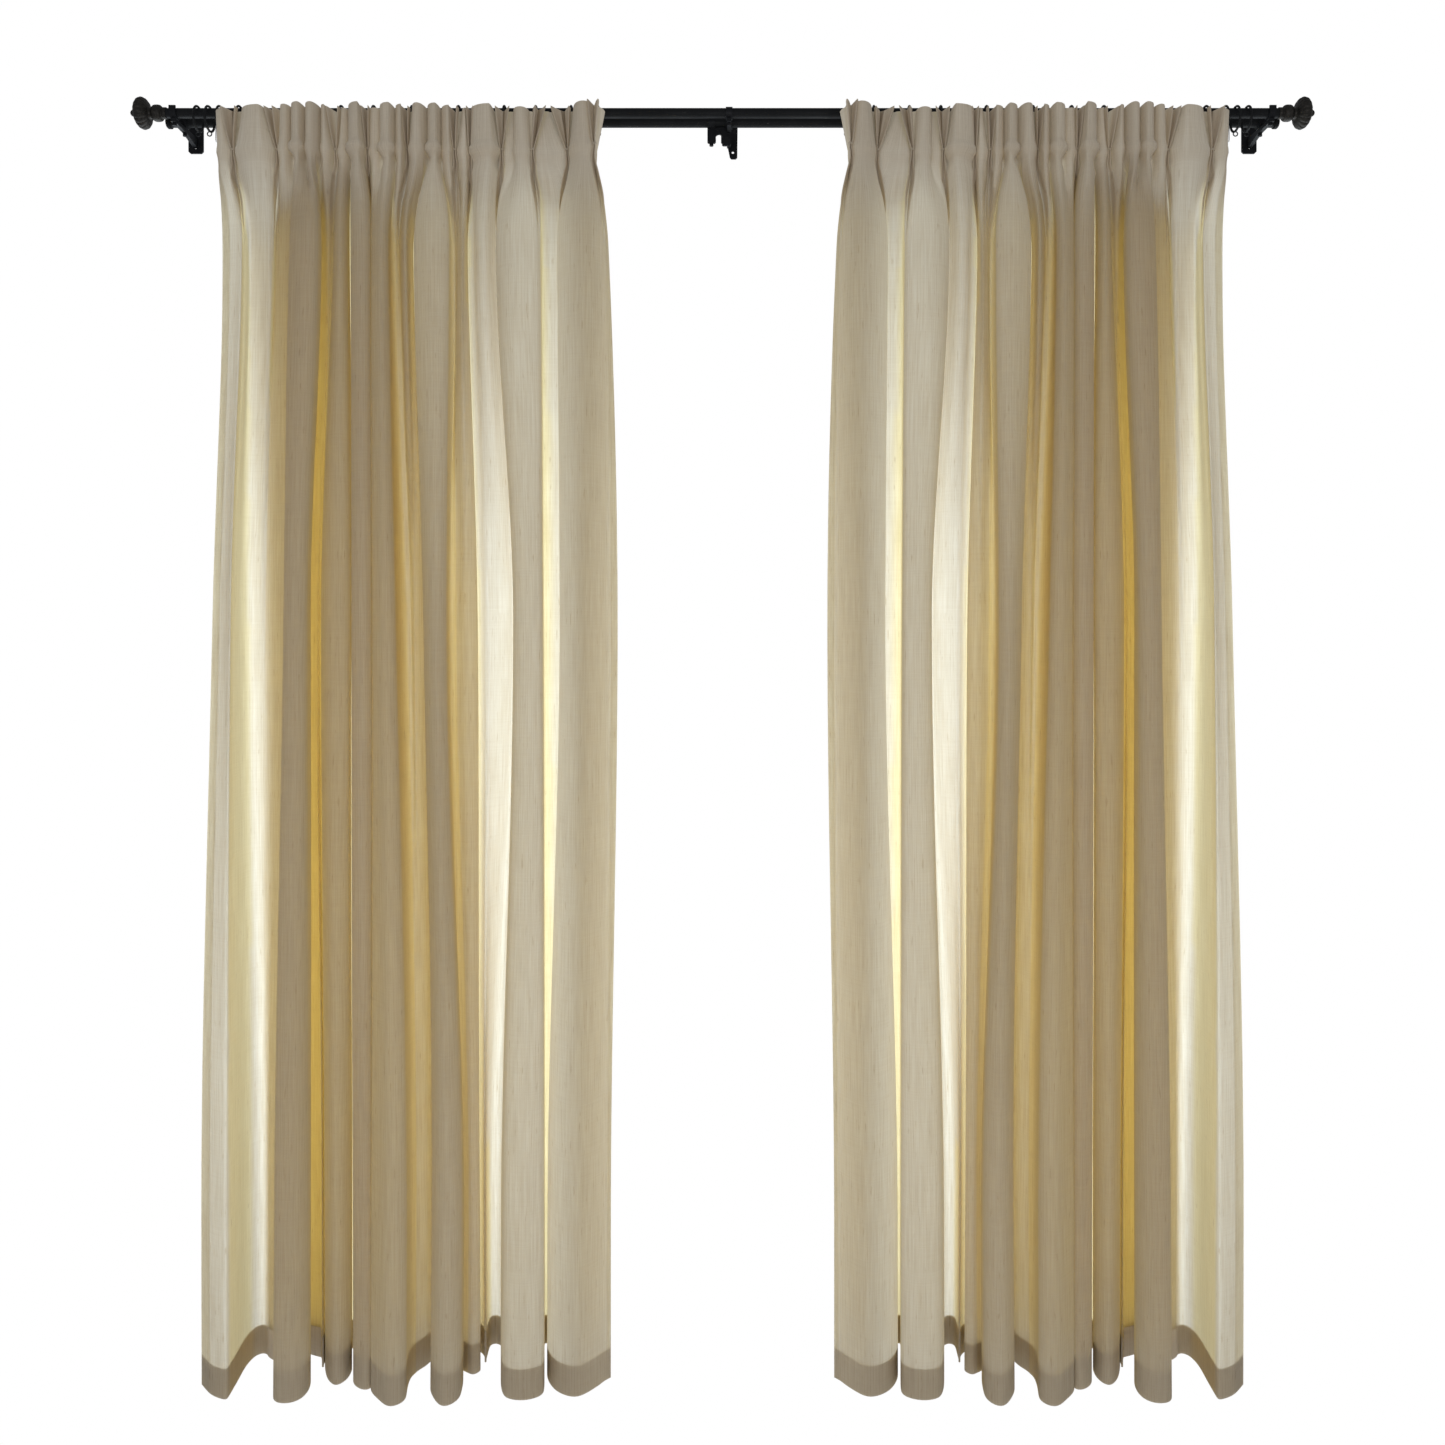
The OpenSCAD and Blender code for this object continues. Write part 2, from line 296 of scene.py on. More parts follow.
def column_steps(line, length, sewn):
    """Where the mesh columns are between a fold line and the next, from 0 up to 1."""
    if line not in sewn and line + 1 not in sewn:
        count = max(4, round(length / COLUMN_PITCH))
        return [k / count for k in range(count)]
    first = FINGER_COLUMNS if line in sewn else PLAIN_COLUMNS
    last = FINGER_COLUMNS if line + 1 in sewn else PLAIN_COLUMNS
    reach, middle = FINGER_REACH, 1 - 2 * FINGER_REACH
    return ([reach * k / first for k in range(first)] + [reach, reach + middle / 2]
            + [1 - reach + reach * k / last for k in range(last)])


def column_lines(length):
    """For each mesh column: its place along the fold lines in the body, its place in the heading,
    the number of its pleat (0 none) and its place in that pleat. Between -1 and 1 it is part of
    the pleat's two fingers, and beyond that it is cloth beside them, up to -2 and 2."""
    sewn = {line: n + 1 for n, (line, _, _) in enumerate(PLEATS)}
    body = [line + t for line in range(len(FOLD_LINES) - 1)
            for t in column_steps(line, length[line], sewn)]
    body.append(len(FOLD_LINES) - 1.0)
    rows = []
    for u in body:
        line = min(sewn, key=lambda s: abs(s - u))
        away = u - line
        if abs(away) <= FINGER_REACH + 1e-9:
            rows.append((u, float(line), sewn[line], away / FINGER_REACH))
        elif abs(away) < 1:
            beyond = (abs(away) - FINGER_REACH) / (1 - FINGER_REACH)
            rows.append((u, line + math.copysign(beyond, away), sewn[line],
                         math.copysign(2 - beyond, away)))
        else:
            rows.append((u, u, 0, 0.0))
    body, head, pleat, place = np.array(rows).T
    return body, head, pleat.astype(int), place


def turning_lines():
    """The fold lines where the heading's section is furthest forward or furthest back."""
    d = [row[0][1] for row in FOLD_LINES]
    last = len(d) - 1
    inner = [n for n in range(1, last) if (d[n] - d[n - 1]) * (d[n + 1] - d[n]) < 0
             or (d[n] != d[n - 1] and d[n + 1] == d[n])]
    return [0, *inner, last]


def pleat_rooms():
    """How far each pleat's fingers push the cloth beside them along the rod at the heading's top,
    in metres: {line: (on its outer side, on its inner side)}."""
    turn = turning_lines()
    x = [row[0][0] for row in FOLD_LINES]
    rooms = {}
    for line, first, second in PLEATS:
        before = max(n for n in turn if n < line)
        after = min(n for n in turn if n > line)
        outer = min(max(first, 0) + FINGER_GAP, ROOM_SHARE * abs(x[before] - x[line]))
        inner = min(max(-second, 0) + FINGER_GAP, ROOM_SHARE * abs(x[line] - x[after]))
        rooms[line] = (outer * MM, -inner * MM)
    return rooms


def heading_section(head):
    """Where each mesh column is in the heading: between two hollows the cloth stands out in a
    full, rounded column. For each it gives the place along the rod and the depth in metres, the
    signed distance from the column's front to its hollow, the angle round the column (0 in the
    hollow), the room that the hollow's pleat takes, and how strongly the column is nipped."""
    squareness = 0.85
    x, d = (np.array([row[0][k] for row in FOLD_LINES], float) * MM for k in (0, 1))
    turn = turning_lines()
    rooms = pleat_rooms()
    out = []
    for u in head:
        n = max(0, min(len(turn) - 2, int(np.searchsorted(turn, u, side="right")) - 1))
        a, b = turn[n], turn[n + 1]
        t = (u - a) / (b - a)
        low, front = (a, b) if d[b] >= d[a] else (b, a)
        angle = (t if low == a else 1 - t) * math.pi / 2
        span = x[low] - x[front]
        room = rooms[low][u > low] if low in rooms and u != low else 0
        out.append((x[front] + span * math.cos(angle),
                    d[low] + (d[front] - d[low]) * math.sin(angle) ** squareness,
                    span, angle, room, STRONG_NIP if front in NIPPED else SLIGHT_NIP))
    return np.array(out).T


def finger_offsets(pleat, place, rise, drop):
    """How far each column in a pleat stands from the line its pleat is sewn at, rows by columns,
    in metres: outward along the rod, then forward. rise goes from 0 at the pinch to 1 at the
    heading's top, and drop from 0 at the pinch to 1 where the pleat's cloth has spread below."""
    rooms = pleat_rooms()
    shape = np.zeros((4, len(PLEATS) + 1))
    shape[:, 1:] = np.array([(a * MM, b * MM, *rooms[line]) for line, a, b in PLEATS]).T
    tip1, tip2, outer, inner = shape[:, pleat]
    inside = (pleat > 0) & (np.abs(place) <= 1)
    second = place > 0
    a = np.clip(np.where(second, place, place + 1), 0, 1)
    valley = 0.3 * (tip1 + tip2)        # where the cloth comes back between the two fingers
    foot = np.where(second, valley, outer) * (1 - a) + np.where(second, inner, valley) * a
    out = np.sin(math.pi * a) ** 0.6
    stands = foot + (np.where(second, tip2, tip1) - foot) * out
    side = np.where(second, -1, 1)
    thick = FINGER_HALF * (side + np.cos(math.pi * a))
    rise, drop = rise[:, None], drop[:, None]
    dx = stands * rise ** 0.9 + thick + FINGER_SPREAD * side * out * drop
    dd = out * FINGER_DEPTH * (0.45 + 0.55 * rise ** 0.6 + 0.2 * drop)
    return np.where(inside, dx, 0), np.where(inside, dd, 0)


def waviness(u, z, rng):
    """Slow, small swings of the folds, rows by columns, in metres: along the rod, then in depth."""
    swings = 7
    size_x, size_d = 0.75 * MM, 0.85 * MM
    free_from, free_over = -0.14, 0.4
    dx = np.zeros((len(z), len(u)))
    dd = np.zeros_like(dx)
    for _ in range(swings):
        ku, kz = rng.uniform(0.12, 0.5), rng.uniform(1.3, 4.5)
        pu, pz, qu = rng.uniform(0, 2 * math.pi, 3)
        wave = np.sin(ku * u[None, :] + pu + 0.9 * np.sin(0.35 * z[:, None] * kz + qu))
        dx += size_x * wave * np.sin(kz * z[:, None] + pz)
        dd += size_d * wave * np.cos(kz * z[:, None] + qu)
    free = smoothstep((free_from - z) / free_over)[:, None]
    return dx * free, dd * free


def relax(x, d, weight):
    """Rounds the section's corners: each inner column moves toward its neighbours' middle."""
    passes = 5
    for _ in range(passes):
        for a in (x, d):
            mid = (a[:, :-2] + a[:, 2:]) / 2
            a[:, 1:-1] += 0.5 * weight[:, None] * (mid - a[:, 1:-1])
    return x, d


def behind_folds(x, d):
    """Whether each place on the cloth hangs behind another fold: 0 open to the room, 1 behind,
    with soft borders."""
    clear = 6 * MM
    border_passes = 2
    share = np.zeros_like(x)
    for r in range(len(x)):
        lo, hi = np.minimum(x[r, :-1], x[r, 1:]), np.maximum(x[r, :-1], x[r, 1:])
        mid = (d[r, :-1] + d[r, 1:]) / 2
        across = (x[r][:, None] >= lo) & (x[r][:, None] <= hi)
        share[r] = (across & (mid > d[r][:, None] + clear)).any(axis=1)
    for _ in range(border_passes):
        share[:, 1:-1] = (share[:, :-2] + 2 * share[:, 1:-1] + share[:, 2:]) / 4
    return share


def panel_grid(seed):
    """The left panel's face: x, y and z arrays, rows by columns, and what goes with each column."""
    rng = np.random.default_rng(seed)
    z = row_heights()
    line_x, line_d = lines_at(z)
    pitch = np.hypot(np.diff(line_x, axis=1), np.diff(line_d, axis=1))
    body, head, pleat, place = column_lines(pitch[len(z) // 2:].mean(axis=0))

    # a column runs along its own place in the body and gathers to its place in the heading
    held = smoothstep((z - BLEND_Z) / (PINCH_Z - BLEND_Z))[:, None]
    u = body + held * (head - body)
    index = np.clip(np.floor(u).astype(int), 0, len(FOLD_LINES) - 2)
    knots = np.concatenate([np.zeros((len(z), 1)), np.cumsum(np.maximum(pitch, 1 * MM), axis=1)],
                           axis=1)
    x = along(knots, line_x, slopes(knots, line_x), index, u - index)
    d = along(knots, line_d, slopes(knots, line_d), index, u - index)
    free_z, free_over = -0.16, 0.06
    x, d = relax(x, d, 1 - smoothstep((z - free_z) / free_over))

    # the heading's rounded columns, with room for the pleats' fingers between them
    rise = np.clip((z - PINCH_Z) / (cad_top - PINCH_Z), 0, 1)
    stiff = smoothstep((z - SOFT_Z) / (PINCH_Z - SOFT_Z))[:, None]
    full_x, full_d, span, angle, room, nip = heading_section(head)
    aside = room * rise[:, None] ** 0.9 + 2 * FINGER_HALF * np.sign(room)
    x = x + stiff * (full_x + aside * np.cos(angle) - x)
    d = d + stiff * (full_d - d)

    spread_height = 0.10
    dx, dd = finger_offsets(pleat, place, rise, smoothstep((PINCH_Z - z) / spread_height))
    sway_x, sway_d = waviness(body, z, rng)
    x = x + dx * held + sway_x
    d = d + dd * held + sway_d

    # the columns bulge at the lower end of the stiffening, then nip in
    wide, narrow = hump(z, BULGE_Z, BULGE_HALF), hump(z, WAIST_Z, WAIST_HALF)
    outward = np.sign(span) * nip
    x = x + outward * NIP_FLARE * wide * np.sin(2 * angle)
    x = x - outward * np.minimum(NIP_SHARE * np.abs(span), NIP_WAIST) * narrow * np.cos(angle)
    d = d + nip * np.sin(angle) * (NIP_FORWARD * wide - NIP_BACK * narrow)

    # the outer edge turns back to its hook, and the inner edge flares at the top
    outer = np.exp(-(body / 0.9) ** 2) * rise[:, None]
    inner = np.exp(-((body - body[-1]) / 0.5) ** 2) * rise[:, None]
    x = x + OUTER_TURN[0] * outer + INNER_FLARE[0] * inner
    d = d + OUTER_TURN[1] * outer + INNER_FLARE[1] * inner

    # cloth coordinates follow the section's length in the body, well below the heading
    body_z = -0.5
    steps = np.hypot(np.diff(x, axis=1), np.diff(d, axis=1))
    cloth_u = np.concatenate([[0], np.cumsum(steps[z < body_z].mean(axis=0))])
    return {"x": -x, "y": -d, "z": np.broadcast_to(z[:, None], x.shape), "u": cloth_u,
            "pleat": pleat, "place": place, "behind": behind_folds(x, d)}


def set_back(grid, distance):
    """The same grid moved toward the wall side of the cloth."""
    tx, ty = np.gradient(grid["x"], axis=1), np.gradient(grid["y"], axis=1)
    size = np.maximum(np.hypot(tx, ty), 1e-9)
    return dict(grid, x=grid["x"] - ty / size * distance, y=grid["y"] + tx / size * distance)


def cut(grid, rows, columns=slice(None)):
    """Some rows and columns of a grid."""
    part = {axis: grid[axis][rows][:, columns] for axis in "xyz"}
    return dict(part, u=grid["u"][columns])


def cloth_object(name, grids, mirror):
    """One mesh from one or more grids, with cloth coordinates in metres as its UV map."""
    sign = -1 if mirror else 1
    co, quads, uv = [], [], []
    start = 0
    for g in grids:
        rows, columns = g["x"].shape
        co.append(np.stack([sign * g["x"], g["y"], g["z"]], axis=-1).reshape(-1, 3))
        first = np.arange(rows - 1)[:, None] * columns + np.arange(columns - 1) + start
        a = first.reshape(-1)
        corners = [a, a + columns, a + columns + 1, a + 1]
        quads.append(np.stack(corners[::-1] if mirror else corners, axis=-1))
        across = np.broadcast_to(g["u"], g["x"].shape)
        uv.append(np.stack([across, g["z"]], axis=-1).reshape(-1, 2))
        start += rows * columns
    co, quads, uv = np.concatenate(co), np.concatenate(quads), np.concatenate(uv)
    mesh = bpy.data.meshes.new(name)
    mesh.vertices.add(len(co))
    mesh.vertices.foreach_set("co", co.astype(np.float32).reshape(-1))
    mesh.loops.add(len(quads) * 4)
    mesh.loops.foreach_set("vertex_index", quads.astype(np.int32).reshape(-1))
    mesh.polygons.add(len(quads))
    mesh.polygons.foreach_set("loop_start", np.arange(0, len(quads) * 4, 4, dtype=np.int32))
    mesh.update(calc_edges=True)
    mesh.validate()
    mesh.polygons.foreach_set("use_smooth", np.ones(len(mesh.polygons), bool))
    layer = mesh.uv_layers.new(name="cloth")
    layer.data.foreach_set("uv", uv[quads.reshape(-1)].astype(np.float32).reshape(-1))
    obj = bpy.data.objects.new(name, mesh)
    bpy.context.scene.collection.objects.link(obj)
    return obj


def mesh_object(name, verts, faces, smooth=True):
    """One mesh from lists of points and faces."""
    mesh = bpy.data.meshes.new(name)
    mesh.from_pydata([tuple(v) for v in verts], [], [tuple(f) for f in faces])
    mesh.update()
    mesh.polygons.foreach_set("use_smooth", np.full(len(mesh.polygons), smooth, bool))
    obj = bpy.data.objects.new(name, mesh)
    bpy.context.scene.collection.objects.link(obj)
    return obj


# ---- materials ----

def node_material(name):
    mat = bpy.data.materials.new(name)
    mat.use_nodes = True
    nodes, links = mat.node_tree.nodes, mat.node_tree.links
    nodes.clear()
    out = nodes.new("ShaderNodeOutputMaterial")
    return mat, nodes, links, out


def scaled(nodes, links, source, scale, location=(0, 0, 0)):
    node = nodes.new("ShaderNodeMapping")
    node.inputs["Scale"].default_value = scale
    node.inputs["Location"].default_value = location
    links.new(source, node.inputs["Vector"])
    return node.outputs["Vector"]


def noise(nodes, links, vector, scale, detail, rough):
    node = nodes.new("ShaderNodeTexNoise")
    node.inputs["Scale"].default_value = scale
    node.inputs["Detail"].default_value = detail
    node.inputs["Roughness"].default_value = rough
    links.new(vector, node.inputs["Vector"])
    return node.outputs["Fac"]


def ranged(nodes, links, value, lo_in, hi_in, lo, hi, smooth=False):
    node = nodes.new("ShaderNodeMapRange")
    node.interpolation_type = "SMOOTHSTEP" if smooth else "LINEAR"
    for key, v in (("From Min", lo_in), ("From Max", hi_in), ("To Min", lo), ("To Max", hi)):
        node.inputs[key].default_value = v
    links.new(value, node.inputs["Value"])
    return node.outputs["Result"]


def maths(nodes, links, operation, a, b):
    node = nodes.new("ShaderNodeMath")
    node.operation = operation
    for socket, v in zip(node.inputs, (a, b)):
        if isinstance(v, (int, float)):
            socket.default_value = v
        else:
            links.new(v, socket)
    return node.outputs["Value"]


def colour_mix(nodes, links, factor, a, b):
    node = nodes.new("ShaderNodeMix")
    node.data_type = "RGBA"
    links.new(factor, node.inputs["Factor"])
    for key, v in (("A", a), ("B", b)):
        socket = [s for s in node.inputs if s.name == key and s.type == "RGBA"][0]
        if isinstance(v, tuple):
            socket.default_value = (*v, 1)
        else:
            links.new(v, socket)
    return [s for s in node.outputs if s.type == "RGBA"][0]


BEHIND = "behind_folds"     # the cloth mesh's attribute, from the function of that name
PAINTED_BEHIND_GAIN = 1.18          # painted light: how much more of the look is light from behind where the cloth hangs behind other folds
HEADING_SHARE = 0.26        # how much of the light the stiffened heading lets through
WAVE_PERIOD = 0.314         # between two bands of a wave texture at a scale of 1


def linen(name, through, face_dark=(0.655, 0.55, 0.42), face_light=(0.785, 0.685, 0.545),
          heading=True):
    """Plain-weave linen. through is the share of its look that is light from behind, and heading
    says whether it has a stiffened top."""
    mat, nodes, links, out = node_material(name)
    uv = nodes.new("ShaderNodeUVMap")
    uv.uv_map = "cloth"
    cloth = uv.outputs["UV"]
    # thick and thin places in the warp (down the cloth) and the weft (across it)
    warp = noise(nodes, links, scaled(nodes, links, cloth, (420, 9, 1)), 1.0, 4.0, 0.6)
    slub = noise(nodes, links, scaled(nodes, links, cloth, (230, 26, 1), (7, 3, 0)), 1.0, 2.0, 0.5)
    weft = noise(nodes, links, scaled(nodes, links, cloth, (14, 380, 1), (2, 5, 0)), 1.0, 3.0, 0.6)
    cloudy = noise(nodes, links, scaled(nodes, links, cloth, (5, 1.6, 1)), 1.0, 2.0, 0.5)
    streak = ranged(nodes, links, slub, 0.62, 0.78, 0.0, 1.0, smooth=True)
    grain = maths(nodes, links, "ADD", maths(nodes, links, "MULTIPLY", warp, 0.80),
                  maths(nodes, links, "MULTIPLY", weft, 0.20))
    tone = ranged(nodes, links, grain, 0.34, 0.66, 0.0, 1.0)
    face = colour_mix(nodes, links, tone, face_dark, face_light)
    face = colour_mix(nodes, links, maths(nodes, links, "MULTIPLY", streak, 0.55), face,
                      (0.50, 0.40, 0.28))
    # painted light: cloth that hangs behind other folds gets a more golden glow, standing in for light
    # that has passed through several layers
    folds = nodes.new("ShaderNodeAttribute")
    folds.attribute_name = BEHIND
    open_glow = colour_mix(nodes, links, tone, (0.86, 0.80, 0.635), (0.94, 0.915, 0.80))
    painted_deep_glow = colour_mix(nodes, links, tone, (0.92, 0.80, 0.43), (0.98, 0.885, 0.56))
    glow = colour_mix(nodes, links, folds.outputs["Fac"], open_glow, painted_deep_glow)
    glow = colour_mix(nodes, links, maths(nodes, links, "MULTIPLY", streak, 0.5), glow,
                      (0.64, 0.50, 0.28))

    # the weave itself: two sets of threads, about six to the centimetre
    def threads(axis, pitch):
        node = nodes.new("ShaderNodeTexWave")
        node.bands_direction = axis
        node.inputs["Scale"].default_value = WAVE_PERIOD / pitch
        node.inputs["Distortion"].default_value = 1.2
        node.inputs["Detail"].default_value = 1.0
        links.new(cloth, node.inputs["Vector"])
        return node.outputs["Fac"]

    weave = maths(nodes, links, "ADD", threads("X", 1.6485 * MM), threads("Y", 1.884 * MM))
    height = maths(nodes, links, "ADD", maths(nodes, links, "MULTIPLY", weave, 0.35),
                   maths(nodes, links, "MULTIPLY", grain, 1.4))
    bump = nodes.new("ShaderNodeBump")
    bump.inputs["Strength"].default_value = 0.35
    bump.inputs["Distance"].default_value = 0.6 * MM
    links.new(height, bump.inputs["Height"])

    cover = nodes.new("ShaderNodeBsdfPrincipled")
    cover.inputs["Specular IOR Level"].default_value = 0.12
    cover.inputs["Sheen Weight"].default_value = 0.12
    cover.inputs["Sheen Roughness"].default_value = 0.6
    links.new(face, cover.inputs["Base Color"])
    links.new(ranged(nodes, links, tone, 0, 1, 0.96, 0.82), cover.inputs["Roughness"])
    links.new(bump.outputs["Normal"], cover.inputs["Normal"])
    lit = nodes.new("ShaderNodeBsdfTranslucent")
    links.new(glow, lit.inputs["Color"])
    links.new(bump.outputs["Normal"], lit.inputs["Normal"])

    uneven = maths(nodes, links, "ADD", maths(nodes, links, "MULTIPLY", tone, 0.75),
                   maths(nodes, links, "MULTIPLY", cloudy, 0.25))
    share = ranged(nodes, links, uneven, 0.0, 1.0, through * 0.84, min(through * 1.14, 0.98))
    # painted light: more of the look is light from behind where the cloth hangs behind other folds
    painted_gain = ranged(nodes, links, folds.outputs["Fac"], 0, 1, 1.0, PAINTED_BEHIND_GAIN)
    share = maths(nodes, links, "MULTIPLY", share, painted_gain)
    if heading:
        height_node = nodes.new("ShaderNodeSeparateXYZ")
        links.new(cloth, height_node.inputs["Vector"])
        soft_z, stiff_z = PINCH_Z - 0.15, PINCH_Z + 0.01
        stiff = ranged(nodes, links, height_node.outputs["Y"], soft_z, stiff_z, 1.0, HEADING_SHARE,
                       smooth=True)
        share = maths(nodes, links, "MULTIPLY", share, stiff)
    mix = nodes.new("ShaderNodeMixShader")
    links.new(share, mix.inputs["Fac"])
    links.new(cover.outputs["BSDF"], mix.inputs[1])
    links.new(lit.outputs["BSDF"], mix.inputs[2])
    links.new(mix.outputs["Shader"], out.inputs["Surface"])
    return mat


def metal(name, dark, light, rough, metallic, grain=(900, 60, 60), wear=(0.2, 0.19, 0.18)):
    """Painted or plated metal: fine grain, small rubbed places and an uneven sheen."""
    mat, nodes, links, out = node_material(name)
    place = nodes.new("ShaderNodeTexCoord").outputs["Object"]
    fine = noise(nodes, links, scaled(nodes, links, place, grain), 1.0, 4.0, 0.6)
    broad = noise(nodes, links, place, 23.0, 3.0, 0.5)
    spots = noise(nodes, links, place, 61.0, 5.0, 0.65)
    rub = ranged(nodes, links, spots, 0.66, 0.76, 0.0, 1.0, smooth=True)
    colour = colour_mix(nodes, links, ranged(nodes, links, fine, 0.3, 0.7, 0, 1), dark, light)
    colour = colour_mix(nodes, links, maths(nodes, links, "MULTIPLY", rub, 0.35), colour, wear)
    shader = nodes.new("ShaderNodeBsdfPrincipled")
    shader.inputs["Metallic"].default_value = metallic
    shader.inputs["Specular IOR Level"].default_value = 0.22
    links.new(colour, shader.inputs["Base Color"])
    sheen = ranged(nodes, links, broad, 0.3, 0.7, rough - 0.07, rough + 0.1)
    links.new(sheen, shader.inputs["Roughness"])
    bump = nodes.new("ShaderNodeBump")
    bump.inputs["Strength"].default_value = 0.25
    bump.inputs["Distance"].default_value = 0.2 * MM
    links.new(fine, bump.inputs["Height"])
    links.new(bump.outputs["Normal"], shader.inputs["Normal"])
    links.new(shader.outputs["BSDF"], out.inputs["Surface"])
    return mat


def floor_material():
    mat, nodes, links, out = node_material("pale_floor")
    place = nodes.new("ShaderNodeTexCoord").outputs["Object"]
    tone = noise(nodes, links, place, 2.2, 2.0, 0.4)
    shader = nodes.new("ShaderNodeBsdfPrincipled")
    colour = colour_mix(nodes, links, tone, (0.86, 0.86, 0.855), (0.89, 0.89, 0.885))
    links.new(colour, shader.inputs["Base Color"])
    shader.inputs["Roughness"].default_value = 0.9
    links.new(shader.outputs["BSDF"], out.inputs["Surface"])
    return mat


LINEN = linen("linen_cloth", 0.52)
LINEN_FOLDED = linen("linen_turnings", 0.12, heading=False)
LINEN_EDGE = linen("linen_side_hem", 0.95)
THREAD = linen("linen_thread", 0.05, (0.62, 0.53, 0.40), (0.74, 0.65, 0.52), heading=False)
ROD = metal("rod_black_satin", (0.004, 0.005, 0.006), (0.009, 0.010, 0.012), 0.62, 0.0)
CAST = metal("bracket_black_enamel", (0.005, 0.006, 0.008), (0.012, 0.013, 0.016), 0.55, 0.1,
             (160, 160, 160))
RING = metal("ring_black_enamel", (0.006, 0.007, 0.008), (0.014, 0.015, 0.017), 0.5, 0.1,
             (300, 300, 300))
FINIAL = metal("finial_dark_bronze", (0.020, 0.019, 0.018), (0.050, 0.046, 0.040), 0.45, 0.5,
               (220, 220, 220), (0.12, 0.105, 0.08))
WIRE = metal("hook_drawn_steel", (0.42, 0.42, 0.43), (0.60, 0.60, 0.60), 0.3, 0.95, (700, 700, 60),
             (0.3, 0.3, 0.3))


def material_for(node):
    if node.startswith("hook"):
        return WIRE
    if node.startswith(("ring", "parked")):
        return RING
    if node.startswith(("bracket", "set_screws")):
        return CAST
    if node.startswith("finial"):
        return FINIAL
    if node.startswith("panel"):
        return LINEN_FOLDED
    return ROD


for o in bpy.context.scene.objects:
    if "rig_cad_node" in o:
        finish = material_for(o["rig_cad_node"])
        if o.data.materials:
            for k in range(len(o.data.materials)):
                o.data.materials[k] = finish
        else:
            o.data.materials.append(finish)


# ---- finials ----

KNOB_REEDS = 18
AROUND = 144                # mesh points around a finial
DRAWN_LENGTH = 71.0         # of the profile below, from the rod's end to the tip
ON_AXIS = 0.01 * MM         # smallest radius, at the profile's two ends


def finial_profile(rod_end_to_tip):
    """(distance from the rod's end, radius, depth of the reeding) along the finial, in metres.
    The points are written in mm, starting with the plug inside the rod and the ferrule."""
    scale = rod_end_to_tip / DRAWN_LENGTH
    points = [(-23.5, 0.0, 0), (-23.5, 8.0, 0), (0, 8.0, 0),
              (0, 10.6, 0), (0.5, 11.0, 0), (6.5, 11.0, 0), (7.0, 10.7, 0), (7.4, 9.4, 0), (8.6, 9.3, 0)]
    for step in range(13):      # neck bead
        a = math.radians(160 - 140 * step / 12)
        along_axis = math.copysign(8.6 * abs(math.cos(a)) ** 0.7, math.cos(a))
        points.append((18 + along_axis, 9 + 6.9 * math.sin(a) ** 0.6, 0))
    points += [(27.3, 10.6, 0), (29.5, 10.0, 0), (32.4, 10.6, 0)]
    for step in range(33):      # reeded knob
        a = math.radians(163 - 146 * step / 32)
        reed = math.sin(math.pi * step / 32) ** 0.7
        points.append((47 + 14 * math.cos(a), 6 + 24.3 * math.sin(a), 2.2 * reed))
    points += [(60.6, 9.6, 0), (61.6, 7.4, 0)]
    for step in range(9):       # tip
        a = math.radians(80 - 80 * step / 8)
        points.append((62 + 9 * math.cos(a), 7.4 * math.sin(a), 0))
    return [(x * scale, r * MM, reed * MM) for x, r, reed in points]


def finial(side):
    """The turned and reeded finial in place of the CAD's plain one."""
    lo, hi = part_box(f"finial_{side}")
    axis_y, axis_z = (lo.y + hi.y) / 2, (lo.z + hi.z) / 2
    sign = SIDES[side]
    tip = hi.x if sign > 0 else lo.x
    rod_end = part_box("front_rod")[1 if sign > 0 else 0].x
    verts, faces = [], []
    profile = finial_profile(abs(tip - rod_end))
    for x, r, reed in profile:
        for n in range(AROUND):
            a = 2 * math.pi * n / AROUND
            groove = 1 - abs(math.sin(KNOB_REEDS * a / 2)) ** 0.6
            radius = max(r - reed * groove, ON_AXIS)
            verts.append((rod_end + sign * x, axis_y + radius * math.cos(a),
                          axis_z + radius * math.sin(a)))
    for p in range(len(profile) - 1):
        for n in range(AROUND):
            m = (n + 1) % AROUND
            quad = (p * AROUND + n, p * AROUND + m, (p + 1) * AROUND + m, (p + 1) * AROUND + n)
            faces.append(quad if sign < 0 else quad[::-1])
    obj = mesh_object(f"finial_{side}_reeded", verts, faces)
    obj.data.materials.append(FINIAL)
    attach(obj, "root")
    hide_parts(f"finial_{side}")


for side in SIDES:
    finial(side)


# ---- cloth ----

TACK_TURNS = 3
TACK_PITCH = 1.3 * MM
TACK_TILT = 0.4 * MM
TACK_BACK = 3 * MM                  # from the pleat's front to the middle of its wraps
TACK_HALF = (4.6 * MM, 4.2 * MM)    # half a wrap's width and depth, to the thread's middle
THREAD_R = 0.55 * MM
PANEL_SEED = 11


def pleat_columns(grid):
    """The mesh columns of each pleat."""
    for n in range(len(PLEATS)):
        yield np.nonzero((grid["pleat"] == n + 1) & (np.abs(grid["place"]) <= 1))[0]


